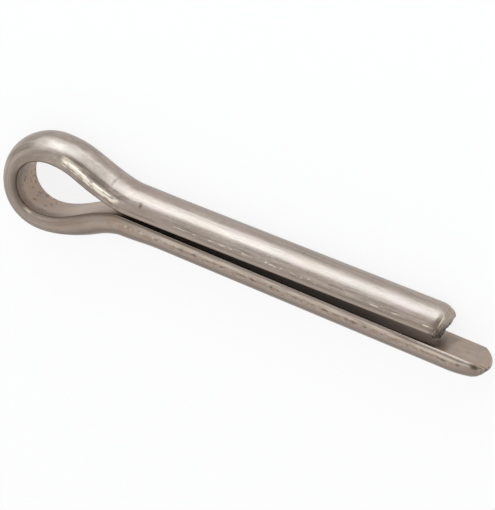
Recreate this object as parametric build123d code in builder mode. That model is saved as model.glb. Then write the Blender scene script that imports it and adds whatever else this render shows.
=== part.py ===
"""Split cotter pin: one length of half-round wire folded into an eye and two legs.

The pin lies on its side, as it comes to rest. X runs along the long leg, from the eye to the
tips. Y crosses from the long leg to the short one, and Z goes through the eye. The origin is in
the middle of the bounding box's base. All sizes are in millimetres and degrees.
"""

import os
from math import cos, radians, sin, sqrt, tan

from build123d import *

# The wire: flat on the inside of the fold, round on the outside, with a narrow flat on each side
wire_width = 7.0
wire_depth = 3.55
side_flat = 1.1
edge_radius = 0.2

# The eye: the wire is drawn thinner at its bottom and left, and regains its depth over the upper
# bow, which is tighter than the lower one
eye_wire_depth = 3.05
eye_radius_lower = 4.12
eye_radius_upper = 3.66

# The throat, where the wire leaves the eye: two slopes that meet the legs at two bends
slope_lower = 25.7
slope_upper = 14.6
bend_radius_lower = 6.0
bend_radius_upper = 6.0
bend_offset = 0.6

# The legs, measured from their bends: they nearly touch at the throat, and the short one splays
leg_gap = 0.32
splay = 1.26
long_leg = 57.2
short_leg = 48.4

# The sheared ends. The long one is a nose: its wire grows shallower, and it ends in an arc in plan,
# centred on its upper side flat and raked back in side view. The short one leans forward a little,
# with the edge of its round side rolled over.
nose_length = 4.9
nose_depth = 2.4
nose_radius = 9.3
nose_rake = 37.0
cut_slant = 10.0
cut_rollover = 2.0
shear_lead = 0.15

half_width = wire_width / 2


def direction(angle):
    """Unit vector in the XY plane at an angle from +X."""
    return Vector(cos(radians(angle)), sin(radians(angle)))


def half_round(depth):
    """Wire section of the given depth: the flat on local Y, the round side towards local +X."""
    with BuildSketch() as section:
        with BuildLine():
            Polyline((side_flat, half_width), (0, half_width), (0, -half_width), (side_flat, -half_width))
            ThreePointArc((side_flat, half_width), (depth, 0), (side_flat, -half_width))
        make_face()
        fillet(section.vertices().group_by(Axis.X)[0], edge_radius)
    return section.sketch


def across(point, outward, along):
    """Plane across the wire at a point of its flat, with local X towards its round side."""
    return Plane(origin=point, x_dir=outward, z_dir=along)


def bow(start, depth, centre, turn):
    """Wire bent about an upright line through centre, by a turn in degrees, positive leftwards."""
    with BuildPart() as bent:
        with BuildSketch(start):
            add(half_round(depth))
        revolve(axis=Axis(centre, (0, 0, turn)), revolution_arc=abs(turn))
    return bent.part


def growing_bow(centre, radius, start_angle, turn, start_depth, end_depth):
    """Wire bent leftwards about an upright line through centre, with a depth that changes evenly."""
    with BuildPart() as bent:
        with BuildLine():
            flat = CenterArc(centre, radius, start_angle, -turn)
        for angle, depth in ((start_angle, start_depth), (start_angle - turn, end_depth)):
            outward = direction(angle)
            with BuildSketch(across(centre + outward * radius, outward, direction(angle - 90))):
                add(half_round(depth))
        sweep(path=flat, multisection=True)
    return bent.part


def ramp(start, start_depth, end, end_depth):
    """Straight wire between two planes across it, with a depth that changes evenly."""
    with BuildPart() as straight:
        with BuildSketch(start):
            add(half_round(start_depth))
        with BuildSketch(end):
            add(half_round(end_depth))
        loft(ruled=True)
    return straight.part


# Everything is laid out about the long leg's corner at the throat, with the wire's middle plane at
# Z = 0, and moved to the part's origin at the end.
# Directions: along each leg towards its tip, along each slope away from the eye, and the
# outward normal of each, on the round side of the wire
long_along = direction(0)
long_outward = direction(-90)
short_along = direction(splay)
short_outward = direction(90 + splay)
lower_along = direction(slope_lower)
lower_outward = direction(slope_lower - 90)
upper_along = direction(-slope_upper)
upper_outward = direction(90 - slope_upper)

# The eye's two bows share their leftmost point, so their centres differ by their radii. Each bow
# touches the line of its slope, which fixes both centres.
corner_long = Vector(0, 0)
corner_short = Vector(bend_offset, leg_gap)
bow_shift = Vector(eye_radius_lower - eye_radius_upper, 0)
reach_lower = eye_radius_lower - corner_long.dot(lower_outward)
reach_upper = eye_radius_upper - (corner_short + bow_shift).dot(upper_outward)
slopes_sine = sin(radians(slope_lower + slope_upper))
lower_centre = Vector(
    -(reach_lower * cos(radians(slope_upper)) + reach_upper * cos(radians(slope_lower))) / slopes_sine,
    (reach_lower * sin(radians(slope_upper)) - reach_upper * sin(radians(slope_lower))) / slopes_sine,
)
upper_centre = lower_centre - bow_shift

# The bends at the throat: the flat follows the outside of each bend
bend_path_lower = bend_radius_lower + wire_depth
bend_path_upper = bend_radius_upper + wire_depth
bend_reach_lower = bend_path_lower * tan(radians(slope_lower / 2))
bend_reach_upper = bend_path_upper * tan(radians((slope_upper + splay) / 2))

# Stations along the flat, from the long leg round the eye to the short leg
long_start = corner_long + long_along * bend_reach_lower
lower_bend_end = corner_long - lower_along * bend_reach_lower
lower_bow_start = lower_centre + lower_outward * eye_radius_lower
upper_bow_end = upper_centre + upper_outward * eye_radius_upper
upper_bend_start = corner_short - upper_along * bend_reach_upper
short_start = corner_short + short_along * bend_reach_upper

# Long leg: straight wire and its nose, trimmed to a plan that moves back along the rake. In that
# plan, local X runs along the leg and local Y points up.
long_reach = long_leg - bend_reach_lower
nose_start = long_start + long_along * (long_reach - nose_length)
rake_rate = tan(radians(nose_rake))
trim_side = half_width + shear_lead
plan_reach = long_reach + shear_lead * rake_rate
far_reach = plan_reach - nose_radius + sqrt(nose_radius**2 - (half_width + trim_side) ** 2)
with BuildPart() as long_shank:
    with BuildSketch(across(long_start, long_outward, long_along)):
        add(half_round(wire_depth))
    extrude(amount=long_reach - nose_length)
    add(
        ramp(
            across(nose_start, long_outward, long_along),
            wire_depth,
            across(nose_start + long_along * nose_length, long_outward, long_along),
            nose_depth,
        )
    )
    with BuildSketch(Plane(long_start - long_outward * shear_lead, x_dir=long_along, z_dir=long_outward)):
        with BuildLine():
            Polyline(
                (plan_reach, half_width),
                (plan_reach, trim_side),
                (-wire_depth, trim_side),
                (-wire_depth, -trim_side),
                (far_reach, -trim_side),
            )
            RadiusArc((far_reach, -trim_side), (plan_reach, half_width), -nose_radius)
        make_face()
    extrude(amount=wire_width, dir=long_outward - long_along * rake_rate, mode=Mode.INTERSECT)

# Short leg: trimmed to its side view, with local X along the leg and local Y towards its round side
short_reach = short_leg - bend_reach_upper
slant_rate = tan(radians(cut_slant))
trim_depth = wire_depth + shear_lead
with BuildPart() as short_shank:
    with BuildSketch(across(short_start, short_outward, short_along)):
        add(half_round(wire_depth))
    extrude(amount=short_reach)
    with BuildSketch(Plane(short_start, x_dir=short_along, z_dir=(0, 0, 1))) as cut_side:
        with BuildLine():
            Polyline(
                (-wire_depth, -wire_depth),
                (short_reach - 2 * wire_depth * slant_rate, -wire_depth),
                (short_reach + shear_lead * slant_rate, trim_depth),
                (-wire_depth, trim_depth),
                close=True,
            )
        make_face()
        fillet(cut_side.vertices().sort_by(Axis.X)[-1], cut_rollover)
    extrude(amount=wire_width, both=True, mode=Mode.INTERSECT)

# The whole wire, in order along its length
with BuildPart() as wire:
    add(long_shank.part)
    add(
        bow(
            across(long_start, long_outward, -long_along),
            wire_depth,
            long_start + long_outward * bend_path_lower,
            slope_lower,
        )
    )
    add(
        ramp(
            across(lower_bend_end, lower_outward, -lower_along),
            wire_depth,
            across(lower_bow_start, lower_outward, -lower_along),
            eye_wire_depth,
        )
    )
    add(
        bow(
            across(lower_bow_start, lower_outward, -lower_along),
            eye_wire_depth,
            lower_centre,
            -(90 + slope_lower),
        )
    )
    add(growing_bow(upper_centre, eye_radius_upper, 180, 90 + slope_upper, eye_wire_depth, wire_depth))
    add(
        ramp(
            across(upper_bow_end, upper_outward, upper_along),
            wire_depth,
            across(upper_bend_start, upper_outward, upper_along),
            wire_depth,
        )
    )
    add(
        bow(
            across(upper_bend_start, upper_outward, upper_along),
            wire_depth,
            short_start + short_outward * bend_path_upper,
            slope_upper + splay,
        )
    )
    add(short_shank.part)

# The pin, with its origin in the middle of the base of its bounding box
box = wire.part.bounding_box()
with BuildPart() as cotter_pin:
    with Locations((-box.center().X, -box.center().Y, half_width)):
        add(wire.part)

cotter_pin.part.label = "cotter_pin"

os.makedirs("parts", exist_ok=True)
export_step(cotter_pin.part, "parts/cotter_pin.step")
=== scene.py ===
from collections import namedtuple
from math import cos, pi, radians, sin, tan

import bmesh
import bpy
import numpy as np
from mathutils import Matrix, Vector, noise


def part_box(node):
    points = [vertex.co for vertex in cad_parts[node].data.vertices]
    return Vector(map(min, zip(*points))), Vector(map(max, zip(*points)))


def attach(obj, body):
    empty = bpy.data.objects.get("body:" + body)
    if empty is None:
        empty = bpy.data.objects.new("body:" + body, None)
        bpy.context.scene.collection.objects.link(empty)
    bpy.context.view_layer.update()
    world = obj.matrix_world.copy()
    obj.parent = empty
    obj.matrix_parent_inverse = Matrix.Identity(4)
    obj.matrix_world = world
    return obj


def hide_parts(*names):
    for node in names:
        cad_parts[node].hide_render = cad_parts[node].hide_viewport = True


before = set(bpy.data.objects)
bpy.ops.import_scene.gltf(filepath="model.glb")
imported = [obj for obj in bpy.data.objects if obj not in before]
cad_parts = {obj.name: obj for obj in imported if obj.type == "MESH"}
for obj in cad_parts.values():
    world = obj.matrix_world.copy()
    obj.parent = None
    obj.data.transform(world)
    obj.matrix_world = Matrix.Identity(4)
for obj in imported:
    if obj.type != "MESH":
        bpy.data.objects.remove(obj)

bl_info = {
    "name": "Split Cotter Pin",
    "version": (1, 0, 0),
    "blender": (4, 5, 0),
    "location": "View3D > Sidebar > Cotter Pin",
    "description": "Models a split cotter pin of half-round wire and the stage it is shown on",
    "category": "Object",
}

MM = 0.001
SAME_PLACE = 1e-7
CAD_LOW, CAD_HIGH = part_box("cotter_pin")
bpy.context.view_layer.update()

# The fold, seen from above: the wire's flat runs through these places, in millimetres from the
# part's origin. The heading is in degrees, and before and after are the lengths of the curve's
# handles. The depth and the side flat are the wire's own there.
Station = namedtuple("Station", "x y heading before after depth side_flat")
LONG_TIP = Station(37.45, 0.44, 180, 0, 18, 3.47, 1.10)
LOWER_BEND = Station(-18.78, 0.44, 180, 18, 1.2, 3.81, 1.15)
LOWER_SLOPE = Station(-23.39, -1.09, 209.4, 1.69, 1.83, 3.65, 1.30)
EYE_BOTTOM = Station(-30.25, -3.93, 180, 2.62, 2.35, 3.08, 1.35)
EYE_LEFT = Station(-34.58, 0.23, 90, 2.5, 2.1, 2.96, 1.20)
EYE_TOP = Station(-30.41, 3.46, 0, 2.0, 2.31, 3.54, 1.15)
UPPER_SLOPE = Station(-24.92, 2.21, -18.5, 2.46, 2.09, 3.71, 1.15)
UPPER_BEND = Station(-18.18, 0.87, 1.26, 1.81, 15, 3.57, 1.12)
SHORT_TIP = Station(29.24, 1.906, 1.26, 15, 0, 3.51, 1.10)
LOWER_HALF = (LONG_TIP, LOWER_BEND, LOWER_SLOPE, EYE_BOTTOM)
FOLD = (*LOWER_HALF, EYE_LEFT, EYE_TOP, UPPER_SLOPE, UPPER_BEND, SHORT_TIP)
CURVE_STEPS = 200


class CotterPinWire(bpy.types.PropertyGroup):
    """Sizes of the wire that the pin is folded from"""

    width: bpy.props.FloatProperty(
        name="Wire width",
        description="Distance between the wire's two side flats",
        default=CAD_HIGH[2] - CAD_LOW[2],
        subtype="DISTANCE",
        unit="LENGTH",
    )
    depth: bpy.props.FloatProperty(
        name="Wire depth",
        description="Height of the round side over the flat",
        default=3.55 * MM,
        subtype="DISTANCE",
        unit="LENGTH",
    )
    side_flat: bpy.props.FloatProperty(
        name="Side flat",
        description="Height of the narrow flat on each side of the wire",
        default=1.12 * MM,
        subtype="DISTANCE",
        unit="LENGTH",
    )
    edge_radius: bpy.props.FloatProperty(
        name="Edge radius",
        description="Rounding between the flat and the side flats",
        default=0.22 * MM,
        subtype="DISTANCE",
        unit="LENGTH",
    )
    ridge_radius: bpy.props.FloatProperty(
        name="Ridge rounding",
        description="Width of the rounding between a side flat and the round side",
        default=0.16 * MM,
        subtype="DISTANCE",
        unit="LENGTH",
    )
    nose_radius: bpy.props.FloatProperty(
        name="Nose radius",
        description="Radius of the arc in which the long leg ends, seen in plan",
        default=9.3 * MM,
        subtype="DISTANCE",
        unit="LENGTH",
    )
    nose_rake: bpy.props.FloatProperty(
        name="Nose rake",
        description="Angle by which the nose leans back towards the round side",
        default=radians(37),
        subtype="ANGLE",
    )
    cut_slant: bpy.props.FloatProperty(
        name="Cut slant",
        description="Angle by which the short leg's end leans forward",
        default=radians(10),
        subtype="ANGLE",
    )


RGB = {"size": 3, "min": 0, "max": 1}


class CotterPinSteel(bpy.types.PropertyGroup):
    """Colours and finish of the drawn steel"""

    base: bpy.props.FloatVectorProperty(
        name="Steel",
        description="Colour of the drawn steel",
        default=(0.38, 0.317, 0.272),
        subtype="COLOR",
        **RGB,
    )
    # Laid on as real stains and pits, and also as painted shade between the legs, inside the eye, along near
    # edges, at the short tip and under its burr
    stain: bpy.props.FloatVectorProperty(
        name="Stain and shade",
        description="Colour of the brown stains and pits, and of the painted shade",
        default=(0.12, 0.085, 0.062),
        subtype="COLOR",
        **RGB,
    )
    warm: bpy.props.FloatVectorProperty(
        name="Warm stain",
        description="Colour of the faint warm clouds in the steel",
        default=(0.32, 0.25, 0.195),
        subtype="COLOR",
        **RGB,
    )
    tan: bpy.props.FloatVectorProperty(
        name="Tan stain",
        description="Colour of the steel inside the eye",
        default=(0.455, 0.335, 0.25),
        subtype="COLOR",
        **RGB,
    )
    rust: bpy.props.FloatVectorProperty(
        name="Rust",
        description="Colour of the thin rust along the long leg's ridge",
        default=(0.33, 0.22, 0.145),
        subtype="COLOR",
        **RGB,
    )
    blush: bpy.props.FloatVectorProperty(
        name="Pink stain",
        description="Colour of the faint pink clouds in the steel",
        default=(0.40, 0.305, 0.285),
        subtype="COLOR",
        **RGB,
    )
    # Painted highlights on ridges, side flats and the short end's rim, and painted glints on small marks
    gleam: bpy.props.FloatVectorProperty(
        name="Painted highlight",
        description="Colour of the painted highlights on ridges, rims and edges",
        default=(0.93, 0.83, 0.68),
        subtype="COLOR",
        **RGB,
    )
    burr: bpy.props.FloatVectorProperty(
        name="Torn steel",
        description="Colour of the torn steel at the sheared ends",
        default=(0.24, 0.22, 0.20),
        subtype="COLOR",
        **RGB,
    )
    roughness: bpy.props.FloatProperty(
        name="Roughness",
        description="Roughness of the drawn surface",
        default=0.325,
        min=0,
        max=1,
        subtype="FACTOR",
    )


class CotterPinStage(bpy.types.PropertyGroup):
    """Floor, camera and lamps"""

    floor_size: bpy.props.FloatProperty(
        name="Floor size",
        description="Side of the square floor",
        default=1.6,
        subtype="DISTANCE",
        unit="LENGTH",
    )
    floor_glow: bpy.props.FloatProperty(
        name="Floor glow",
        description="Share of plain white in the floor as the camera sees it",
        default=0.84,
        min=0,
        max=1,
        subtype="FACTOR",
    )
    floor_reflected: bpy.props.FloatProperty(
        name="Floor reflected",
        description="Share of the plain floor, darker in front, as the steel reflects it",
        default=0.7,
        min=0,
        max=1,
        subtype="FACTOR",
    )
    surroundings: bpy.props.FloatProperty(
        name="Surroundings",
        description="Brightness of the white surroundings",
        default=0.86,
    )
    softbox: bpy.props.FloatProperty(
        name="Low softbox",
        description="Brightness of the softbox that stands low behind the short leg",
        default=2.65,
    )
    side_softbox: bpy.props.FloatProperty(
        name="Side softbox",
        description="Brightness of the fainter softbox that stands beyond the eye",
        default=0.9,
    )
    card: bpy.props.FloatProperty(
        name="Low card",
        description="Brightness of the white card that lies behind the pin",
        default=1.12,
    )
    overhead: bpy.props.FloatProperty(
        name="Overhead lamp",
        description="Brightness of the lamp over the pin",
        default=1.8,
    )
    camera_distance: bpy.props.FloatProperty(
        name="Camera distance",
        description="Distance from the camera to the point it looks at",
        default=2.468,
        subtype="DISTANCE",
        unit="LENGTH",
    )
    camera_lens: bpy.props.FloatProperty(
        name="Camera lens",
        description="Focal length in millimetres for a 36 mm sensor",
        default=1285.1,
    )


def only(piece):
    """Makes one object the active and only selected one."""
    bpy.ops.object.select_all(action="DESELECT")
    piece.select_set(True)
    bpy.context.view_layer.objects.active = piece


def select(kind, test):
    """Selects the vertices, edges or faces of the mesh in edit mode whose places pass a test."""
    bpy.ops.mesh.select_mode(type=kind)
    bpy.ops.mesh.select_all(action="DESELECT")
    mesh = bmesh.from_edit_mesh(bpy.context.object.data)
    for part in {"VERT": mesh.verts, "EDGE": mesh.edges, "FACE": mesh.faces}[kind]:
        corners = [part] if kind == "VERT" else part.verts
        if test(*(corner.co for corner in corners)):
            part.select_set(True)
    bmesh.update_edit_mesh(bpy.context.object.data)


def fold_curve():
    """The line that the wire's flat follows, from the long leg's tip to the short leg's tip."""
    line = bpy.data.curves.new("fold", "CURVE")
    line.dimensions = "2D"
    line.resolution_u = CURVE_STEPS
    spline = line.splines.new("BEZIER")
    spline.bezier_points.add(len(FOLD) - 1)
    for point, station in zip(spline.bezier_points, FOLD):
        place = Vector((station.x, station.y, 0)) * MM
        heading = Vector((cos(radians(station.heading)), sin(radians(station.heading)), 0)) * MM
        point.handle_left_type = point.handle_right_type = "FREE"
        point.co = place
        point.handle_left = place - heading * station.before
        point.handle_right = place + heading * station.after
    fold = bpy.data.objects.new("fold", line)
    bpy.context.collection.objects.link(fold)
    return fold


def bezier_length(start, end, steps=400):
    """Length in millimetres of the curve between two stations."""
    places = []
    for station, reach in ((start, start.after), (end, -end.before)):
        place = np.array((station.x, station.y))
        heading = np.array((cos(radians(station.heading)), sin(radians(station.heading))))
        places += [place, place + heading * reach]
    a, b, d, c = places
    t = np.linspace(0, 1, steps)[:, None]
    line = (1 - t) ** 3 * a + 3 * (1 - t) ** 2 * t * b + 3 * (1 - t) * t**2 * c + t**3 * d
    return np.linalg.norm(np.diff(line, axis=0), axis=1).sum()


STATION_AT = np.concatenate([[0], np.cumsum([bezier_length(a, b) for a, b in zip(FOLD, FOLD[1:])])])
WIRE_LENGTH = STATION_AT[-1]

# The bar's mesh: the sides of the disc that its section is cut from, the cuts across the flat and
# the side flats, the segments of the rounded corners, and the cuts along the wire in two rounds,
# with one more near the tips. The ends are closed with rings that shrink towards a point, which
# lies at a share of the depth, down to a share of a ring's width.
ROUND_SIDES = 92
FLAT_CUTS = 23
SIDE_CUTS = 5
EDGE_SEGMENTS = 4
RIDGE_SEGMENTS = 3
COARSE_CUTS = 27
FINE_CUTS = 26
TIP_ZONE = 5.2
TIP_CUTS = 1
CAP_RINGS = 16
CAP_CENTRE = 0.42
CAP_LAST = 0.6
# Points of the bar this close to one of its faces lie in it, in millimetres
NEAR = 0.02


def wire_section(wire, unit=1.0):
    """Half the wire's width, and the centre and the radius of its round side."""
    rise = wire.depth - wire.side_flat
    half = wire.width / 2
    radius = (half**2 + rise**2) / (2 * rise)
    return half / unit, (wire.depth - radius) / unit, radius / unit


def half_round_bar(wire):
    """A straight bar: a disc cut to the wire's section, its corners rounded, drawn out and ringed."""
    length = WIRE_LENGTH * MM
    half, centre, radius = wire_section(wire)
    bpy.ops.mesh.primitive_circle_add(
        vertices=ROUND_SIDES,
        radius=radius,
        fill_type="NGON",
        location=(0, centre, half),
        rotation=(0, pi / 2, 0),
    )
    bar = bpy.context.object
    bar.name = bar.data.name = "cotter_pin_wire"
    bpy.ops.object.transform_apply(location=True, rotation=True, scale=True)
    bpy.ops.object.mode_set(mode="EDIT")
    for height, inward in ((0, (0, 1, 0)), (0, (0, 0, 1)), (wire.width, (0, 0, -1))):
        bpy.ops.mesh.select_all(action="SELECT")
        bpy.ops.mesh.bisect(plane_co=(0, 0, height), plane_no=inward, clear_inner=True, threshold=SAME_PLACE)

    near = NEAR * MM

    def at_side(point):
        return min(point.z, wire.width - point.z) < near

    for height, size, segments in (
        (0, wire.edge_radius, EDGE_SEGMENTS),
        (wire.side_flat, wire.ridge_radius, RIDGE_SEGMENTS),
    ):
        select("VERT", lambda point: at_side(point) and abs(point.y - height) < near)
        bpy.ops.mesh.bevel(offset=size, segments=segments, affect="VERTICES", clamp_overlap=False)
    select("EDGE", lambda a, b: max(a.y, b.y) < near and abs(a.z - b.z) > half)
    bpy.ops.mesh.subdivide(number_cuts=FLAT_CUTS)
    select("EDGE", lambda a, b: at_side(a) and at_side(b) and abs(a.y - b.y) > wire.side_flat / 2)
    bpy.ops.mesh.subdivide(number_cuts=SIDE_CUTS)

    bpy.ops.mesh.select_all(action="SELECT")
    bpy.ops.mesh.extrude_region_move(TRANSFORM_OT_translate={"value": (length, 0, 0)})
    zone = TIP_ZONE * MM
    for cuts, test in (
        (COARSE_CUTS, lambda low, high: high - low > near),
        (FINE_CUTS, lambda low, high: high - low > near),
        (TIP_CUTS, lambda low, high: high - low > near and (high < zone or low > length - zone)),
    ):
        select("EDGE", lambda a, b: test(min(a.x, b.x), max(a.x, b.x)))
        bpy.ops.mesh.subdivide(number_cuts=cuts)

    for end in (0, length):
        select("FACE", lambda *corners: all(abs(corner.x - end) < near for corner in corners))
        middle = (end, wire.depth * CAP_CENTRE, half)
        for left in reversed(range(CAP_RINGS)):
            bpy.ops.mesh.extrude_region_move(TRANSFORM_OT_translate={"value": (0, 0, 0)})
            shrink = (left + CAP_LAST) / (left + 1 + CAP_LAST)
            bpy.ops.transform.resize(value=(1, shrink, shrink), center_override=middle)
        bpy.ops.mesh.poke()
    bpy.ops.mesh.select_all(action="SELECT")
    bpy.ops.mesh.normals_make_consistent(inside=False)
    bpy.ops.object.mode_set(mode="OBJECT")
    return bar


def smooth_step(value, low, high):
    """Rises smoothly from 0 at low to 1 at high; falls where low is the larger."""
    t = np.clip((value - low) / (high - low), 0, 1)
    return t * t * (3 - 2 * t)


# A span longer than the first is a leg, and its depth changes within the second of its bend
LEG_SPAN, LEG_BLEND = 20, 6


def profile(along, values):
    """Follows the values at the fold's stations along the wire, with smooth steps between them."""
    out = np.full_like(along, values[0])
    for start, end, low, high in zip(STATION_AT, STATION_AT[1:], values, values[1:]):
        if end - start > LEG_SPAN:
            start, end = (end - LEG_BLEND, end) if start == 0 else (start, start + LEG_BLEND)
        out += (high - low) * smooth_step(along, start, end)
    return out


def edge_setback(distance, radius):
    """How far a rounded edge of a radius lies behind the face, at a distance from its side."""
    near = radius - np.clip(distance, 0, radius)
    return radius - np.sqrt(np.maximum(radius**2 - near**2, 0))


SEED_SHIFT = (7.3, 3.1, 5.7)


def rough(points, size, seed):
    """Smooth noise of a grain size at each point, between about -1 and 1."""
    shift = Vector(SEED_SHIFT) * seed
    return np.array([noise.noise(Vector(point) / size + shift) for point in points])


# The long leg's nose, in millimetres: where its arc starts, how far its shaping reaches, how its
# round side drops towards the tip, and how its edges are rounded. Its rake depends on its drop, so
# it is worked out in a few rounds.
NOSE_ARC_SIDE = 6.9
NOSE_REACH = 8.0
NOSE_DROP_LENGTH = 6.47
NOSE_DROP_RATE = 0.035
NOSE_EDGES = {"near": 0.8, "far": 0.35, "flat": 0.42, "round": 0.45}
RAKE_ROUNDS = 4

# The short leg's end. The rolled edge is given by direction in the section, in degrees from the
# crown towards the near side, with its length along the wire and its drop below the surface. The
# far corner is set back by a distance that depends on the height over the flat. The lip is the burr
# that the cut pulled out of the flat, smaller at the far side and ragged.
CUT_REACH = 5.0
CUT_ROLLS = (
    (-70, 0.6, 0.35),
    (-55, 1.0, 0.6),
    (-38, 1.7, 1.4),
    (0, 1.7, 1.3),
    (25, 1.1, 0.6),
    (40, 0.85, 0.42),
    (62, 0.7, 0.35),
)
CUT_SIDE_EDGE = 0.4
CUT_FAR = ((0, 0.1), (1.1, -0.15), (2.1, -0.1), (3.0, 0))
CUT_FAR_WIDTH = 4.5
LIP_DROP = 1.15
LIP_DROP_MOST = 1.3
LIP_LENGTH = 0.4
LIP_THICKNESS = 0.8
LIP_SPAN = (0.4, 6.7)
LIP_FULLNESS = 0.6
LIP_FAR = 0.4
LIP_GROWS = (1.5, 3.5)
LIP_RAGGED = (0.5, 0.1)
# The torn face beside the flat: the size and the seed of its coarse and its fine grain, how far each
# moves the face, how far it keeps from the round side, and where it fades out over the flat
TORN_COARSE, TORN_FINE = (0.7, 3), (0.25, 8)
TORN_RELIEF = (0.12, 0.06)
TORN_INSET = 0.5
TORN_FADES = (1.6, 0.9)
# Points of the straight bar this close to a tip lie in its end face
AT_END = 0.001


def nose_setback(out, up, to_round, wire):
    """How far the nose lies behind the long leg's tip."""
    arc = wire.nose_radius / MM
    depth, width = wire.depth / MM, wire.width / MM
    back = arc - np.sqrt(arc**2 - np.clip(NOSE_ARC_SIDE - up, 0, None) ** 2)
    back += np.maximum.reduce(
        [
            edge_setback(out, NOSE_EDGES["flat"]),
            edge_setback(up, NOSE_EDGES["far"]),
            edge_setback(width - up, NOSE_EDGES["near"]),
            edge_setback(to_round, NOSE_EDGES["round"]),
        ]
    )
    raked = back + tan(wire.nose_rake) * out
    for _ in range(RAKE_ROUNDS):
        raked = back + tan(wire.nose_rake) * out * (1 - nose_drop(raked) / depth)
    return raked


def nose_drop(along):
    """How much shallower the wire is than its full depth, at a distance from the long leg's tip."""
    return NOSE_DROP_RATE * np.clip(NOSE_DROP_LENGTH - along, 0, None) ** 2


def cut_setback(out, up, to_round, angle, wire):
    """How far the sheared end lies behind the short leg's tip."""
    depth, width = wire.depth / MM, wire.width / MM
    directions, lengths, drops = zip(*CUT_ROLLS)
    length = np.interp(angle, directions, lengths)
    drop = np.interp(angle, directions, drops)
    roll = np.maximum.reduce(
        [
            edge_setback(to_round * length / drop, length),
            edge_setback(up, CUT_SIDE_EDGE),
            edge_setback(width - up, CUT_SIDE_EDGE),
        ]
    )
    far_corner = np.interp(out, *zip(*CUT_FAR)) * np.clip(1 - up / CUT_FAR_WIDTH, 0, 1)
    return tan(wire.cut_slant) * (depth - out) + roll + far_corner


# Small hollows in the surface: the place along the wire, the direction in the section in degrees
# from the crown towards the near side, the half length and half width, and the depth
Hollow = namedtuple("Hollow", "along angle length width depth")
HOLLOWS = (
    Hollow(4.4, 69, 0.26, 0.16, 0.05),
    Hollow(6.5, 68, 0.40, 0.15, 0.04),
    Hollow(9.6, 68, 0.35, 0.13, 0.03),
    Hollow(12.1, 69, 0.22, 0.12, 0.03),
    Hollow(18.5, 69, 0.26, 0.16, 0.05),
    Hollow(20.3, 69, 0.24, 0.16, 0.05),
    Hollow(24.6, 69, 0.34, 0.16, 0.05),
    Hollow(28.1, 69, 0.20, 0.12, 0.03),
    Hollow(32.8, 70, 0.20, 0.18, 0.06),
    Hollow(35.8, 69, 0.26, 0.15, 0.04),
    Hollow(40.4, 69, 0.24, 0.12, 0.03),
    Hollow(44.6, 69, 0.26, 0.16, 0.05),
    Hollow(46.7, 69, 0.20, 0.12, 0.03),
    Hollow(95.5, 56, 0.16, 0.30, 0.10),
)
DARK_HOLLOW = 0.05
# The shallow mark that the folding die left across the wire, and how dark it is
DIE_MARK = Hollow(90.0, 32, 0.11, 1.1, 0.03)
DIE_MARK_DARK = 0.45
# The ridge, softened over the upper bow: how deep and wide, and where that starts and stops
RIDGE_SOFTNESS = 0.06
RIDGE_SOFT_WIDTH = 0.55
RIDGE_SOFT_FROM, RIDGE_SOFT_TO = (81.5, 84.5), (93.5, 90.5)
# The long leg's near edge, worn behind the nose, and a pit in it: its place, its half length and
# half width, its depth, and how dark it is
WORN_EDGE = 0.13
WORN_EDGE_WIDTH = 0.75
WORN_FROM, WORN_TO = (1.8, 3.0), (14, 9)
EDGE_PIT = (2.1, 0.38, 7.0)
EDGE_PIT_SIZE = (0.60, 0.42)
EDGE_PIT_DEPTH = 0.24
EDGE_PIT_DARK = 1.4


def hollow_mask(along, arc, hollow, radius):
    """Fades from 1 in the middle of a hollow to 0 at its edge; arc is the distance round the section."""
    around = (arc - np.radians(hollow.angle) * radius) / hollow.width
    return np.exp(-(((along - hollow.along) / hollow.length) ** 2) - around**2)


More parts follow.
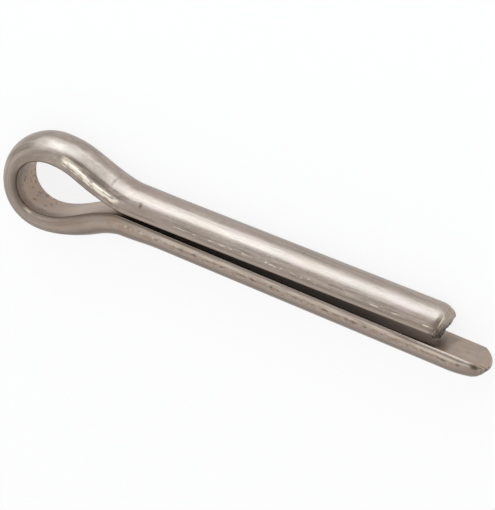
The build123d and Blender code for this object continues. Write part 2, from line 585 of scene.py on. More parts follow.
def shape_bar(bar, wire):
    """Gives the straight bar its changing depth, its sheared ends and its small unevenness."""
    mesh = bar.data
    count = len(mesh.vertices)
    points = np.empty(count * 3)
    mesh.vertices.foreach_get("co", points)
    points = points.reshape(count, 3) / MM
    along, out, up = points.T.copy()
    depth, side, width = wire.depth / MM, wire.side_flat / MM, wire.width / MM
    half, centre, radius = wire_section(wire, MM)
    to_round = radius - np.hypot(out - centre, up - half)
    angle = np.degrees(np.arctan2(up - half, out - centre))
    ends = (along < AT_END) | (along > WIRE_LENGTH - AT_END)

    # The two sheared ends
    back = nose_setback(out, up, to_round, wire)
    along = np.where(along < NOSE_REACH, back + along * (1 - back / NOSE_REACH), along)
    taper = 1 - nose_drop(along) / depth
    back = cut_setback(out, up, to_round, angle, wire)
    left = WIRE_LENGTH - along
    cut = left < CUT_REACH
    left = np.where(cut, back + left * (1 - back / CUT_REACH), left)
    along = np.where(cut, WIRE_LENGTH - left, along)
    coarse, fine = np.zeros(count), np.zeros(count)
    for grain, (size, seed) in ((coarse, TORN_COARSE), (fine, TORN_FINE)):
        grain[cut] = rough(np.stack([along, out, up], 1)[cut], size, seed)
    torn = (ends & cut) * np.clip(to_round / TORN_INSET, 0, 1) * smooth_step(out, *TORN_FADES)
    along += torn * (TORN_RELIEF[0] * coarse + TORN_RELIEF[1] * fine)
    span = np.clip((up - LIP_SPAN[0]) / (LIP_SPAN[1] - LIP_SPAN[0]), 0, 1)
    lip = np.where(cut, np.exp(-(((left - back) / LIP_LENGTH) ** 2)), 0)
    lip *= np.clip(1 - out / LIP_THICKNESS, 0, 1) * np.sin(pi * span) ** LIP_FULLNESS
    lip *= LIP_FAR + (1 - LIP_FAR) * smooth_step(up, *LIP_GROWS)
    drop = LIP_DROP * lip * (1 + LIP_RAGGED[0] * coarse + LIP_RAGGED[1] * fine)
    nominal = np.stack([along, out, up], 1)

    # The depth along the fold
    depths = profile(along, [station.depth for station in FOLD])
    sides = profile(along, [station.side_flat for station in FOLD])
    low = out * sides / side
    high = sides + (out - side) * (depths - sides) / (depth - side)
    out = np.where(out < side, low, high) * taper - np.minimum(drop, LIP_DROP_MOST)

    # Hollows, the die mark and the softened ridge, pushed in towards the middle of the section
    arc = np.radians(angle) * radius
    push = sum(hollow.depth * hollow_mask(along, arc, hollow, radius) for hollow in HOLLOWS)
    die = hollow_mask(along, arc, DIE_MARK, radius)
    dark = push / DARK_HOLLOW + DIE_MARK_DARK * die
    push += DIE_MARK.depth * die
    ridge = np.arcsin(half / radius) * radius
    from_ridge = np.clip(1 - np.abs(arc - ridge) / RIDGE_SOFT_WIDTH, 0, 1)
    soft = smooth_step(along, *RIDGE_SOFT_FROM) * smooth_step(along, *RIDGE_SOFT_TO)
    push += RIDGE_SOFTNESS * soft * from_ridge**2
    push[ends] = 0
    from_edge = np.clip(1 - np.hypot(out, width - up) / WORN_EDGE_WIDTH, 0, 1)
    worn = WORN_EDGE * from_edge**2 * smooth_step(along, *WORN_FROM) * smooth_step(along, *WORN_TO)
    from_pit = np.hypot(out - EDGE_PIT[1], up - EDGE_PIT[2]) / EDGE_PIT_SIZE[1]
    pit = np.exp(-(((along - EDGE_PIT[0]) / EDGE_PIT_SIZE[0]) ** 2) - from_pit**2)
    worn += EDGE_PIT_DEPTH * pit
    worn[ends] = 0
    out = out - push * np.cos(np.radians(angle)) + worn
    up = up - push * np.sin(np.radians(angle)) - worn

    final = np.stack([along, out, up], 1)
    mesh.vertices.foreach_set("co", (final * MM).ravel())
    mesh.attributes.new("wire", "FLOAT_VECTOR", "POINT").data.foreach_set("vector", nominal.ravel())
    dark = np.clip(dark + EDGE_PIT_DARK * pit, 0, 1)
    for name, mask in (("hollow", dark), ("lip", lip)):
        mesh.attributes.new(name, "FLOAT", "POINT").data.foreach_set("value", mask)
    mesh.update()
    corners = np.empty(len(mesh.loops), dtype=np.int32)
    mesh.loops.foreach_get("vertex_index", corners)
    starts = np.empty(len(mesh.polygons), dtype=np.int32)
    mesh.polygons.foreach_get("loop_start", starts)
    sheared = np.logical_and.reduceat(ends[corners], starts)
    mesh.polygons.foreach_set("material_index", sheared.astype(np.int32))


def fold_bar(bar):
    """Folds the straight bar along the fold's line."""
    fold = fold_curve()
    modifier = bar.modifiers.new("fold", "CURVE")
    modifier.object = fold
    modifier.deform_axis = "POS_X"
    only(bar)
    bpy.ops.object.modifier_apply(modifier=modifier.name)
    bpy.data.objects.remove(fold)


def add_node(tree, kind, inputs=(), **settings):
    """Adds a shader node, with its settings, and with values or links for its inputs."""
    node = tree.nodes.new(kind)
    for name, value in settings.items():
        setattr(node, name, value)
    for name, value in dict(inputs).items():
        if isinstance(value, bpy.types.NodeSocket):
            tree.links.new(value, node.inputs[name])
        else:
            node.inputs[name].default_value = value
    return node


def math(tree, operation, first, second=0.0, clamp=False):
    """The result of a Math node."""
    inputs = {0: first, 1: second}
    return add_node(tree, "ShaderNodeMath", inputs, operation=operation, use_clamp=clamp).outputs[0]


def attribute(tree, name, output):
    """What the shaping kept at the mesh's points under a name."""
    return add_node(tree, "ShaderNodeAttribute", attribute_name=name).outputs[output]


def ramp(tree, value, low, high):
    """Rises smoothly from 0 at low to 1 at high; falls where low is the larger."""
    turn = low > high
    limits = {"From Min": min(low, high), "From Max": max(low, high), "To Min": turn, "To Max": not turn}
    node = add_node(tree, "ShaderNodeMapRange", {"Value": value, **limits}, interpolation_type="SMOOTHSTEP")
    return node.outputs["Result"]


def product(tree, *masks):
    """Masks multiplied together."""
    result = masks[0]
    for mask in masks[1:]:
        result = math(tree, "MULTIPLY", result, mask)
    return result


# The noise patterns in the steel, in the wire's own coordinates: how far each is stretched along the
# wire, its scale to a millimetre, its detail and its seed
Pattern = namedtuple("Pattern", "stretch scale detail seed")
PATTERNS = {
    "fine_lines": Pattern(30, 6.0, 3, 0),
    "coarse_lines": Pattern(60, 1.7, 2, 4),
    "short_lines": Pattern(6, 9.0, 2, 27),
    "bow_patches": Pattern(1.6, 0.9, 3, 47),
    "clouds": Pattern(3, 0.30, 3, 9),
    "specks": Pattern(1, 1.5, 3, 2),
    "mottle": Pattern(1.5, 0.6, 3, 45),
    "nose_rust": Pattern(1, 0.7, 2, 43),
    "blush": Pattern(2.5, 0.45, 2, 21),
    "broken": Pattern(10, 2.5, 3, 11),
    "dashes": Pattern(3, 2.0, 3, 12),
    "scratches": Pattern(4, 2.6, 3, 15),
    "nicks": Pattern(0.5, 1.8, 2, 17),
    "dents": Pattern(1, 2.2, 2, 33),
    "ridge_rust": Pattern(2, 2.6, 3, 31),
    "ridge_dots": Pattern(0.8, 1.5, 3, 6),
    "ridge_streaks": Pattern(12, 3.5, 2, 35),
    "side_streaks": Pattern(8, 2.0, 3, 7),
    "pits": Pattern(0.8, 1.5, 2, 19),
    "smudges": Pattern(4, 2.2, 3, 5),
    "torn_edge": Pattern(1, 1.2, 2, 41),
    "crumbs": Pattern(1, 3.0, 4, 3),
    "scores": Pattern(0.3, 2.2, 3, 23),
    "end_rust": Pattern(1, 0.8, 2, 29),
}

# The marks on the steel, laid over each other in this order: stains, rust and pits, and also painted
# highlights, painted sheen and painted shade. Each has a colour, its strength, and where it lies, in
# millimetres and degrees: two limits are a rise, or a fall where the first is the larger, four are a
# rise and a fall, and none takes the shaping's own mask. A mark may be broken up by a pattern,
# between two of its values, and have its colour made lighter or darker.
Mark = namedtuple("Mark", "name colour strength where pattern between light", defaults=(None, None, 1))
ON_FLAT = (0.12, 0.02)
DRAWN_MARKS = (
    Mark("warm_clouds", "warm", 0.40, {}, "clouds", (0.45, 0.75)),
    Mark("warm_flat", "warm", 0.50, {"out": ON_FLAT}),
    Mark("eye_flat", "tan", 0.90, {"out": ON_FLAT, "along": (55.5, 57, 78, 79.5)}),
    # Tan tint on the flat in the lower bow, lightened as a painted reflection of white light
    Mark("slope_flat", "tan", 0.90, {"out": ON_FLAT, "along": (55.5, 57, 63, 67)}, light=1.2),
    Mark("nose_flat", "tan", 0.75, {"out": ON_FLAT, "along": (12, 8)}, "mottle", (0.40, 0.62), light=0.95),
    Mark(
        "nose_rust", "rust", 0.40,
        {"out": ON_FLAT, "along": (3.6, 1.2)}, "nose_rust", (0.42, 0.60), light=1.1,
    ),
    Mark("upper_side", "base", 0.55, {"out": (0.62, 0.42), "up": (6.7, 6.95), "along": (90, 96)}, light=1.28),
    # Painted sheen: lighter steel along the near side's upper half, where the rounded edge would catch soft
    # light
    Mark(
        "worn_side", "base", 0.75,
        {"out": (0.3, 0.55), "along": (2, 6, 58, 66), "angle": (48, 58)}, light=1.28,
    ),
    # Painted sheen: lighter steel on the lower bow's round side
    Mark("worn_bow", "base", 0.85, {"angle": (44, 48, 67, 71), "along": (62, 66, 76, 80)}, light=1.28),
    Mark(
        "warm_bend", "tan", 0.55,
        {"along": (48, 52, 65, 69), "angle": (15, 40)}, "mottle", (0.40, 0.62), light=0.85,
    ),
    Mark("pink_clouds", "blush", 0.50, {}, "blush", (0.50, 0.70)),
    # Painted highlight along the softened ridge of the upper bow, broken up by a grain; its start is a
    # fainter painted highlight
    Mark(
        "rubbed_ridge", "gleam", 0.90,
        {"angle": (62, 64, 73.5, 75.5), "along": (82.2, 83.2, 91.5, 92.5)}, "scratches", (0.34, 0.50),
    ),
    Mark(
        "rubbed_start", "gleam", 0.70,
        {"angle": (55, 57, 64, 66), "along": (82.1, 82.9, 84.8, 85.6)}, "scratches", (0.34, 0.50),
    ),
    # Painted highlight streak along the near side flat of the lower leg
    Mark(
        "side_streak", "gleam", 0.36,
        {"out": (0.34, 0.48, 0.86, 1.0), "up": (6.8, 6.95), "along": (56, 48)}, "broken", (0.35, 0.60),
    ),
    # Painted highlight: a thin line along the upper leg's ridge
    Mark(
        "upper_ridge", "gleam", 0.65,
        {"angle": (68, 69, 70.2, 71.2), "along": (98, 104)}, "dashes", (0.48, 0.60),
    ),
    # Painted highlight on the ridge just before the short tip
    Mark("tip_spark", "gleam", 0.80, {"angle": (68, 68.8, 70, 70.8), "along": (138.6, 138.9, 139.5, 139.8)}),
    # Fine marks across the lower leg's ridge, shown as painted glints
    Mark(
        "nicks", "gleam", 0.32,
        {"angle": (66.5, 68, 73, 74.5), "along": (46, 48, 56, 58)}, "nicks", (0.5, 0.6),
    ),
    # Painted glints in spots along the upper leg's ridge
    Mark(
        "dents", "gleam", 0.60,
        {"angle": (66, 68, 72, 74), "along": (111, 114, 122, 125)}, "dents", (0.58, 0.66),
    ),
    Mark(
        "eye_glint", "gleam", 0.50,
        {"out": (0.08, 0.2, 0.36, 0.48), "up": (6.8, 6.95), "along": (69.3, 69.9, 70.3, 70.9)},
    ),
    Mark(
        "ridge_rust", "rust", 0.55,
        {"angle": (56, 60, 72, 76), "along": (2, 6, 54, 62)}, "ridge_rust", (0.46, 0.62),
    ),
    Mark(
        "ridge_dots", "stain", 0.60,
        {"angle": (66.3, 67.5, 69.5, 70.7), "along": (4, 8, 54, 58)}, "ridge_dots", (0.50, 0.60),
    ),
    Mark(
        "under_ridge", "stain", 0.40,
        {"angle": (60, 62, 67, 69), "along": (98, 104)}, "ridge_streaks", (0.50, 0.62),
    ),
    Mark(
        "side_line", "stain", 0.35,
        {"out": (0.58, 0.66, 0.80, 0.88), "angle": (70, 74), "along": (80, 95)}, "side_streaks", (0.4, 0.6),
    ),
    Mark("eye_specks", "stain", 0.75, {"out": ON_FLAT, "along": (59, 63, 77, 81)}, "specks", (0.64, 0.70)),
    Mark("eye_pits", "stain", 0.80, {"out": ON_FLAT, "along": (67, 69, 75, 77)}, "pits", (0.60, 0.66)),
    Mark("eye_clouds", "stain", 0.20, {"out": ON_FLAT, "along": (59, 63, 77, 81)}, "clouds", (0.35, 0.65)),
    # Painted shade inside the eye: the flat darker towards its near edge, on the lower bow, the slope and the
    # eye's left side
    Mark("eye_rim", "stain", 0.72, {"out": ON_FLAT, "along": (64, 67, 76, 79), "up": (4.3, 6.2)}),
    Mark("slope_rim", "stain", 0.50, {"out": ON_FLAT, "along": (56, 59, 66, 69), "up": (5.3, 6.5)}),
    Mark("eye_left", "stain", 0.75, {"out": ON_FLAT, "along": (72.5, 75.5, 78, 81), "up": (1.0, 5.0)}),
    # Painted shade on the flats between the two legs
    Mark("between_legs", "stain", 0.72, {"out": ON_FLAT, "along": (9, 20, 56.5, 58.5)}),
    Mark("between_legs_above", "stain", 0.72, {"out": ON_FLAT, "along": (94, 98, 124, 136)}),
    # Darker near edges of the flat: dirt, and painted shade that keeps the edge from catching the lamp's
    # highlight
    Mark("eye_edge", "stain", 0.70, {"out": (1.0, 0.2), "up": (6.5, 6.9), "along": (69.5, 71.5, 75, 77)}),
    Mark("throat_edge", "stain", 0.60, {"out": (0.6, 0.1), "up": (6.5, 6.9), "along": (40, 46, 58, 64)}),
    Mark("slope_side", "stain", 0.22, {"angle": (69, 73), "up": (6.8, 6.95), "along": (52, 55, 65, 68)}),
    # Darker near edge of the long leg: dirt, and painted shade that dims its highlight
    Mark("leg_edge", "stain", 0.55, {"out": (0.3, 0.1), "up": (6.6, 6.8), "along": (9, 12)}),
    # Darker band between the ridge and the highlight on the upper bow: partly stain, partly a painted dark
    # reflection
    Mark(
        "smudge", "stain", 0.66,
        {"angle": (46, 50, 58, 62), "along": (82, 84.5, 92, 94.5)}, "smudges", (0.20, 0.60),
    ),
    Mark("bow_spot", "stain", 0.50, {"angle": (35, 42, 52, 59), "along": (75.6, 76.8, 78, 79.2)}),
    # Darker over the highlight on the upper slope
    Mark("slope_cloud", "stain", 0.28, {"angle": (28, 34, 50, 56), "along": (82.5, 85, 88, 90.5)}),
    Mark("hollows", "stain", 0.85, {"hollow": ()}),
    # Painted shade where the short leg's round side starts to roll over towards its end
    Mark("short_tip", "stain", 0.45, {"along": (139.5, 140.2), "angle": (46, 56)}),
    Mark(
        "nose_line", "stain", 0.50,
        {"out": (0.26, 0.34, 0.46, 0.54), "up": (6.8, 6.95), "along": (1, 3, 13, 15)},
    ),
    # Darker near edge by the nose: dirt, and painted shade that dims its highlight
    Mark("nose_edge", "stain", 0.22, {"out": (0.3, 0.1), "up": (6.6, 6.8), "along": (12, 9)}),
    Mark("nose_corner", "stain", 0.45, {"out": (0.5, 0.3), "up": (6.4, 6.6), "along": (1.8, 1.2)}),
    # Painted shadow of the short leg's burr on the long leg's flat
    Mark("under_lip", "stain", 0.45, {"out": ON_FLAT, "along": (6.4, 7.2, 8.6, 9.4), "up": (0.5, 1.5, 6, 7)}),
    Mark("lip", "burr", 0.80, {"lip": ()}, light=0.6),
)
SHORT_END = (60, 80)
NOSE_END = {"along": (80, 60), "up": (5.8, 4.6)}
SHEARED_MARKS = (
    Mark("end_rust", "rust", 0.60, {}, "end_rust", (0.52, 0.66)),
    Mark("rolled_edge", "base", 0.90, {"along": SHORT_END, "below": (0.44, 0.28)}),
    # Painted shade where the roll starts on the short end
    Mark("roll_start", "stain", 0.70, {"along": SHORT_END, "below": (0.28, 0.18), "angle": (40, 50)}),
    # Painted highlight on the crest of the short end's rolled rim
    Mark(
        "bright_rim", "gleam", 0.90,
        {"along": SHORT_END, "below": (0.16, 0.28, 0.60, 0.72), "angle": (28, 40, 58, 70)}, light=0.8,
    ),
    Mark("nose_bevel", "base", 1, {**NOSE_END, "out": (0.6, 0.4)}, light=1.2),
)
# Darkest and lightest share of a colour, and the values of the pattern where it has them
STEEL_LIGHT, STEEL_BETWEEN = (0.78, 1.20), (0.38, 0.70)
SCORE_LIGHT, SCORE_BETWEEN = (0.85, 1.5), (0.35, 0.65)
CRUMB_LIGHT, CRUMB_BETWEEN = (0.45, 1.7), (0.36, 0.64)
LIP_CRUMB_LIGHT, LIP_CRUMB_BETWEEN = 0.3, (0.66, 0.46)
# How much each kind of line counts, and where on the upper bow patches take their place
FINE_SHARE, COARSE_SHARE, SHORT_SHARE, PATCH_SHARE = 0.6, 0.4, 0.35, 0.65
PATCHY_BOW = {"along": (74, 78, 93, 97)}
# How much duller the lines, the hollows and the torn steel are, and how the bumps stand out
LINE_DULLNESS, HOLLOW_DULLNESS = 0.36, 0.3
SPECK_DEPTH, SPECK_BETWEEN = 0.8, (0.66, 0.74)
DRAWN_BUMP = {"Strength": 0.35, "Distance": 0.02 * MM}
END_ROUGHNESS, TORN_DULLNESS = 0.38, 0.15
SCORE_DEPTH = 0.25
SHEARED_BUMP = {"Strength": 0.8, "Distance": 0.08 * MM}
# The torn zone: its height over the flat, and how much its edge wanders
TORN_HEIGHT, TORN_WANDER = (1.4, 0.7), 0.8
# The direction in the section is steady up to this height over the flat, where it would flip
CURVED_FROM = 0.04
NOISE_ROUGHNESS, NOISE_MIDDLE = 0.6, 0.5


def new_group(name, inputs, outputs):
    """A node group with plain values in and out, and the values that come in."""
    group = bpy.data.node_groups.new(name, "ShaderNodeTree")
    for in_out, sockets in (("INPUT", inputs), ("OUTPUT", outputs)):
        for socket in sockets:
            group.interface.new_socket(socket, in_out=in_out, socket_type="NodeSocketFloat")
    return group, add_node(group, "NodeGroupInput").outputs


def make_wire_place():
    """Node group: where a point lies in the wire, in millimetres and degrees."""
    results = ("Along", "Out", "Up", "Angle", "Below Round")
    group, section = new_group("wire_place", ("Half Width", "Centre", "Radius"), results)
    along, out, up = add_node(group, "ShaderNodeSeparateXYZ", {0: attribute(group, "wire", "Vector")}).outputs
    aside = math(group, "SUBTRACT", up, section["Half Width"])
    above = math(group, "SUBTRACT", out, section["Centre"])
    curved = product(group, above, math(group, "GREATER_THAN", out, CURVED_FROM))
    angle = math(group, "MULTIPLY", math(group, "ARCTAN2", aside, curved), 180 / pi)
    squares = math(group, "ADD", product(group, aside, aside), product(group, above, above))
    below = math(group, "SUBTRACT", section["Radius"], math(group, "SQRT", squares))
    add_node(group, "NodeGroupOutput", zip(results, (along, out, up, angle, below)))


def make_wire_grain():
    """Node group: noise in the wire's own coordinates, stretched along the wire."""
    group, given = new_group("wire_grain", ("Stretch", "Scale", "Detail", "Seed"), ("Grain",))
    stretch = add_node(group, "ShaderNodeCombineXYZ", {"X": given["Stretch"], "Y": 1, "Z": 1}).outputs[0]
    place = {0: attribute(group, "wire", "Vector"), 1: stretch}
    drawn = add_node(group, "ShaderNodeVectorMath", place, operation="DIVIDE").outputs[0]
    moved = add_node(group, "ShaderNodeVectorMath", {0: drawn, 1: given["Seed"]}, operation="ADD").outputs[0]
    inputs = {"Vector": moved, "Roughness": NOISE_ROUGHNESS}
    inputs.update({name: given[name] for name in ("Scale", "Detail")})
    pattern = add_node(group, "ShaderNodeTexNoise", inputs)
    add_node(group, "NodeGroupOutput", {"Grain": pattern.outputs["Fac"]})


def wire_place(tree, wire):
    """Where a point lies in the wire: the node group's outputs by name."""
    half, centre, radius = wire_section(wire, MM)
    inputs = {"Half Width": half, "Centre": centre, "Radius": radius}
    node = add_node(tree, "ShaderNodeGroup", inputs, node_tree=bpy.data.node_groups["wire_place"])
    return dict(zip(("along", "out", "up", "angle", "below"), node.outputs))


def patterns(tree, *names):
    """The named noise patterns, each a node group with its own values."""
    group = bpy.data.node_groups["wire_grain"]
    made = {}
    for name in names:
        values = dict(enumerate(PATTERNS[name]))
        node = add_node(tree, "ShaderNodeGroup", values, node_tree=group, label=name)
        made[name] = node.outputs["Grain"]
    return made


def patch(tree, place, where):
    """The masks that together bound a patch of the wire, given as a mark's place is."""
    masks = []
    for name, limits in where.items():
        masks.append(ramp(tree, place[name], *limits[:2]) if limits else place[name])
        if len(limits) == 4:
            masks.append(ramp(tree, place[name], limits[3], limits[2]))
    return masks


# The mix node's sockets, by number, when it mixes colours
MIX_SHARE, MIX_UNDER, MIX_OVER, MIX_RESULT = 0, 6, 7, 2


def tint(tree, colour, over, share, label=""):
    """A colour laid over another by a share."""
    inputs = {MIX_SHARE: share, MIX_UNDER: colour, MIX_OVER: over}
    return add_node(tree, "ShaderNodeMix", inputs, data_type="RGBA", label=label).outputs[MIX_RESULT]


def rgba(colour, light=1.0):
    """A colour with its alpha, lightened or darkened."""
    return (*(part * light for part in colour), 1)


def mottled(tree, colour, light, pattern, between):
    """A colour that changes from its darkest to its lightest with a pattern."""
    dark, pale = light
    return tint(tree, rgba(colour, dark), rgba(colour, pale), ramp(tree, pattern, *between))


def lay(tree, colour, marks, steel, place, noises):
    """Lays marks over a colour, one after another."""
    for mark in marks:
        masks = patch(tree, place, mark.where)
        if mark.pattern:
            masks.append(ramp(tree, noises[mark.pattern], *mark.between))
        over = rgba(getattr(steel, mark.colour), mark.light)
        colour = tint(tree, colour, over, product(tree, *masks, mark.strength), mark.name)
    return colour


def new_material(name):
    """A material with an empty tree but for its shader."""
    material = bpy.data.materials.new(name)
    material.use_nodes = True
    return material, material.node_tree, material.node_tree.nodes["Principled BSDF"]


def finish_metal(tree, shader, colour, roughness, relief, bump):
    """Gives a metal its colour, its roughness and its bumps."""
    normal = add_node(tree, "ShaderNodeBump", {"Height": relief, **bump})
    shader.inputs["Metallic"].default_value = 1
    tree.links.new(colour, shader.inputs["Base Color"])
    tree.links.new(roughness, shader.inputs["Roughness"])
    tree.links.new(normal.outputs[0], shader.inputs["Normal"])


def drawn_steel(steel, wire):
    """Drawn steel: fine lines along the wire, warm stains, pits below the ridge and in the eye, painted
    highlights on ridges and edges, and painted shade between the legs, inside the eye and at the short tip.
    """
    material, tree, shader = new_material("drawn_steel")
    place = wire_place(tree, wire)
    place.update({name: attribute(tree, name, "Fac") for name in ("hollow", "lip")})
    own = ("fine_lines", "coarse_lines", "short_lines", "bow_patches", "specks")
    used = (mark.pattern for mark in DRAWN_MARKS if mark.pattern)
    noises = patterns(tree, *dict.fromkeys((*own, *used)))

    fine = math(tree, "MULTIPLY", noises["fine_lines"], FINE_SHARE)
    coarse = math(tree, "MULTIPLY", noises["coarse_lines"], COARSE_SHARE)
    short = math(tree, "MULTIPLY", math(tree, "SUBTRACT", noises["short_lines"], NOISE_MIDDLE), SHORT_SHARE)
    lines = math(tree, "ADD", math(tree, "ADD", fine, coarse), short)
    change = math(tree, "SUBTRACT", noises["bow_patches"], lines)
    lines = math(tree, "ADD", lines, product(tree, change, *patch(tree, place, PATCHY_BOW), PATCH_SHARE))

    colour = mottled(tree, steel.base, STEEL_LIGHT, lines, STEEL_BETWEEN)
    colour = lay(tree, colour, DRAWN_MARKS, steel, place, noises)
    dull = math(tree, "MULTIPLY", lines, LINE_DULLNESS)
    dull = math(tree, "ADD", dull, steel.roughness - LINE_DULLNESS / 2)
    dull = math(tree, "ADD", dull, math(tree, "MULTIPLY", place["hollow"], HOLLOW_DULLNESS), clamp=True)
    specks = math(tree, "MULTIPLY", ramp(tree, noises["specks"], *SPECK_BETWEEN), SPECK_DEPTH)
    finish_metal(tree, shader, colour, dull, math(tree, "SUBTRACT", lines, specks), DRAWN_BUMP)
    return material


def sheared_steel(steel, wire):
    """The sheared ends: a smoother warm part, and a torn grey one next to the flat, with a painted highlight
    on the short end's rim and painted shade where its roll starts.
    """
    material, tree, shader = new_material("sheared_steel")
    place = wire_place(tree, wire)
    lip = attribute(tree, "lip", "Fac")
    noises = patterns(tree, "torn_edge", "crumbs", "scores", "end_rust")
    crumbs, scores = noises["crumbs"], noises["scores"]

    wander = math(tree, "MULTIPLY", noises["torn_edge"], TORN_WANDER)
    torn = ramp(tree, math(tree, "ADD", place["out"], wander), *TORN_HEIGHT)
    nose = product(tree, *patch(tree, place, NOSE_END))
    torn = product(tree, torn, math(tree, "SUBTRACT", 1, nose))
    smooth = mottled(tree, steel.warm, SCORE_LIGHT, scores, SCORE_BETWEEN)
    smooth = lay(tree, smooth, SHEARED_MARKS, steel, place, noises)
    broken = mottled(tree, steel.burr, CRUMB_LIGHT, crumbs, CRUMB_BETWEEN)
    colour = tint(tree, smooth, broken, torn)
    dark_lip = product(tree, lip, ramp(tree, crumbs, *LIP_CRUMB_BETWEEN))
    colour = tint(tree, colour, rgba(steel.burr, LIP_CRUMB_LIGHT), dark_lip)
    roughness = math(tree, "ADD", math(tree, "MULTIPLY", torn, TORN_DULLNESS), END_ROUGHNESS)
    relief = math(tree, "MULTIPLY", crumbs, torn)
    relief = math(tree, "ADD", relief, math(tree, "MULTIPLY", scores, SCORE_DEPTH))
    finish_metal(tree, shader, colour, roughness, relief, SHEARED_BUMP)
    return material


SMOOTH_ANGLE = radians(35)


class COTTERPIN_OT_pin(bpy.types.Operator):
    """Model the pin: shape a straight half-round wire and fold it"""

    bl_idname = "cotterpin.pin"
    bl_label = "Cotter Pin"

    def execute(self, context):
        wire = context.scene.cotter_pin_wire
        bpy.ops.object.select_all(action="DESELECT")
        bar = half_round_bar(wire)
        shape_bar(bar, wire)
        fold_bar(bar)
        bpy.ops.object.shade_smooth_by_angle(angle=SMOOTH_ANGLE)
        steel = context.scene.cotter_pin_steel
        make_wire_place()
        make_wire_grain()
        bar.data.materials.append(drawn_steel(steel, wire))
        bar.data.materials.append(sheared_steel(steel, wire))
        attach(bar, "root")
        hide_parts("cotter_pin")
        return {"FINISHED"}


CAMERA_TARGET = Vector((-1.0, 0.80, 3.266)) * MM
CAMERA_AZIMUTH = radians(54.27)
CAMERA_ELEVATION = radians(61.09)
CAMERA_ROLL = radians(234.9)
CAMERA_SENSOR = 36
CAMERA_CLIP = (0.1, 10)


def make_camera(stage):
    """The camera, placed by its angles about the point it looks at."""
    level = cos(CAMERA_ELEVATION)
    back = Vector((level * cos(CAMERA_AZIMUTH), level * sin(CAMERA_AZIMUTH), sin(CAMERA_ELEVATION)))
    camera = bpy.data.objects.new("camera", bpy.data.cameras.new("camera"))
    bpy.context.collection.objects.link(camera)
    turn = back.to_track_quat("Z", "Y").to_matrix() @ Matrix.Rotation(CAMERA_ROLL, 3, "Z")
    camera.matrix_world = Matrix.Translation(CAMERA_TARGET + back * stage.camera_distance) @ turn.to_4x4()
    camera.data.lens = stage.camera_lens
    camera.data.sensor_width = CAMERA_SENSOR
    camera.data.clip_start, camera.data.clip_end = CAMERA_CLIP
    bpy.context.scene.camera = camera


LAMP_COLOUR = (0.85, 1.0, 1.12)
# The lamps, in metres, with the name of the stage's property that gives their brightness
Lamp = namedtuple("Lamp", "name place aim width height brightness")
LAMPS = (
    Lamp("low_softbox", (-0.092, 0.33, 0.092), (-0.092, 0, 0), 0.255, 0.20, "softbox"),
    Lamp("side_softbox", (-0.238, 0.267, 0.123), (-0.03, 0, 0), 0.17, 0.25, "side_softbox"),
    Lamp("low_card", (-0.03, 0.062, 0.001), (-0.03, 0.062, 1), 0.30, 0.09, "card"),
    Lamp("overhead_lamp", (-0.01, 0.14, 0.48), (0, 0, 0), 0.14, 0.14, "overhead"),
)


def make_lamp(lamp, stage):
    """A soft rectangular lamp, unseen by the camera."""
    light = bpy.data.lights.new(lamp.name, "AREA")
    light.shape = "RECTANGLE"
    light.size, light.size_y = lamp.width, lamp.height
    light.energy = getattr(stage, lamp.brightness) * pi * lamp.width * lamp.height
    light.color = LAMP_COLOUR
    box = bpy.data.objects.new(lamp.name, light)
    bpy.context.collection.objects.link(box)
    turn = (Vector(lamp.place) - Vector(lamp.aim)).to_track_quat("Z", "Y").to_matrix().to_4x4()
    box.matrix_world = Matrix.Translation(lamp.place) @ turn
    box.visible_camera = False


WHITE = (1, 1, 1)
PAPER_WHITENESS, PAPER_ROUGHNESS = 0.94, 0.9
# In reflections the floor turns grey in front of the pin, between two places along Y: painted shade, standing
# in for the pin's shadow there
FRONT_SHADE_SPAN = (-15.5, -1.5)
FRONT_SHADE_GREY = (0.41, 0.39, 0.37)


def white_paper(stage):
    """The floor: matt white, with its shadow kept softly where the camera or the steel sees it, and painted
    shade in its reflection in front of the pin.
    """
    material, tree, shader = new_material("white_paper")
    shader.inputs["Base Color"].default_value = rgba(WHITE, PAPER_WHITENESS)
    shader.inputs["Roughness"].default_value = PAPER_ROUGHNESS
    shader.inputs["Specular IOR Level"].default_value = 0
    path = add_node(tree, "ShaderNodeLightPath")
    place = add_node(tree, "ShaderNodeTexCoord").outputs["Object"]
    across = add_node(tree, "ShaderNodeSeparateXYZ", {0: place}).outputs["Y"]
    # Where the painted shade in the reflected floor gives way to white
    card = ramp(tree, across, FRONT_SHADE_SPAN[0] * MM, FRONT_SHADE_SPAN[1] * MM)
    greyed = tint(tree, rgba(FRONT_SHADE_GREY), rgba(WHITE), card)
    reflected = add_node(tree, "ShaderNodeEmission", {"Color": greyed})
    seen = add_node(tree, "ShaderNodeEmission", {"Color": rgba(WHITE)})
    surface = shader.outputs[0]
    for ray, glow, share in (
        (path.outputs["Is Glossy Ray"], reflected, stage.floor_reflected),
        (path.outputs["Is Camera Ray"], seen, stage.floor_glow),
    ):
        part = math(tree, "MULTIPLY", ray, share)
        blend = add_node(tree, "ShaderNodeMixShader", {0: part, 1: surface, 2: glow.outputs[0]})
        surface = blend.outputs[0]
    tree.links.new(surface, tree.nodes["Material Output"].inputs["Surface"])
    return material


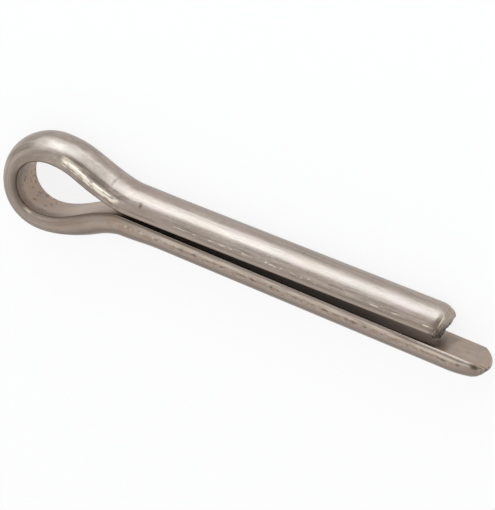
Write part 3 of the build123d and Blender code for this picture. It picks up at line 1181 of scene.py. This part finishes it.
class COTTERPIN_OT_stage(bpy.types.Operator):
    """Make the floor, the surroundings, the lamps and the camera"""

    bl_idname = "cotterpin.stage"
    bl_label = "Stage"

    def execute(self, context):
        stage = context.scene.cotter_pin_stage
        bpy.ops.object.select_all(action="DESELECT")
        bpy.ops.mesh.primitive_plane_add(size=stage.floor_size)
        floor = context.object
        floor.name = "floor"
        floor.data.materials.append(white_paper(stage))
        world = bpy.data.worlds.new("studio")
        world.use_nodes = True
        background = world.node_tree.nodes["Background"]
        background.inputs["Color"].default_value = rgba(WHITE)
        background.inputs["Strength"].default_value = stage.surroundings
        context.scene.world = world
        for lamp in LAMPS:
            make_lamp(lamp, stage)
        make_camera(stage)
        context.scene.view_settings.view_transform = "Standard"
        return {"FINISHED"}


class COTTERPIN_PT_sidebar(bpy.types.Panel):
    """Lists the pin's sizes and colours and the steps that make it"""

    bl_label = "Cotter Pin"
    bl_idname = "COTTERPIN_PT_sidebar"
    bl_space_type = "VIEW_3D"
    bl_region_type = "UI"
    bl_category = "Cotter Pin"

    def draw(self, context):
        for owner in (
            context.scene.cotter_pin_wire,
            context.scene.cotter_pin_steel,
            context.scene.cotter_pin_stage,
        ):
            for name in owner.bl_rna.properties.keys():
                if name not in ("rna_type", "name"):
                    self.layout.prop(owner, name)
        self.layout.operator("cotterpin.pin")
        self.layout.operator("cotterpin.stage")


CLASSES = (
    CotterPinWire,
    CotterPinSteel,
    CotterPinStage,
    COTTERPIN_OT_pin,
    COTTERPIN_OT_stage,
    COTTERPIN_PT_sidebar,
)


def register():
    for item in CLASSES:
        bpy.utils.register_class(item)
    bpy.types.Scene.cotter_pin_wire = bpy.props.PointerProperty(type=CotterPinWire)
    bpy.types.Scene.cotter_pin_steel = bpy.props.PointerProperty(type=CotterPinSteel)
    bpy.types.Scene.cotter_pin_stage = bpy.props.PointerProperty(type=CotterPinStage)


def unregister():
    del bpy.types.Scene.cotter_pin_wire
    del bpy.types.Scene.cotter_pin_steel
    del bpy.types.Scene.cotter_pin_stage
    for item in reversed(CLASSES):
        bpy.utils.unregister_class(item)


def main():
    register()
    bpy.ops.cotterpin.pin()
    bpy.ops.cotterpin.stage()


if __name__ == "__main__":
    main()
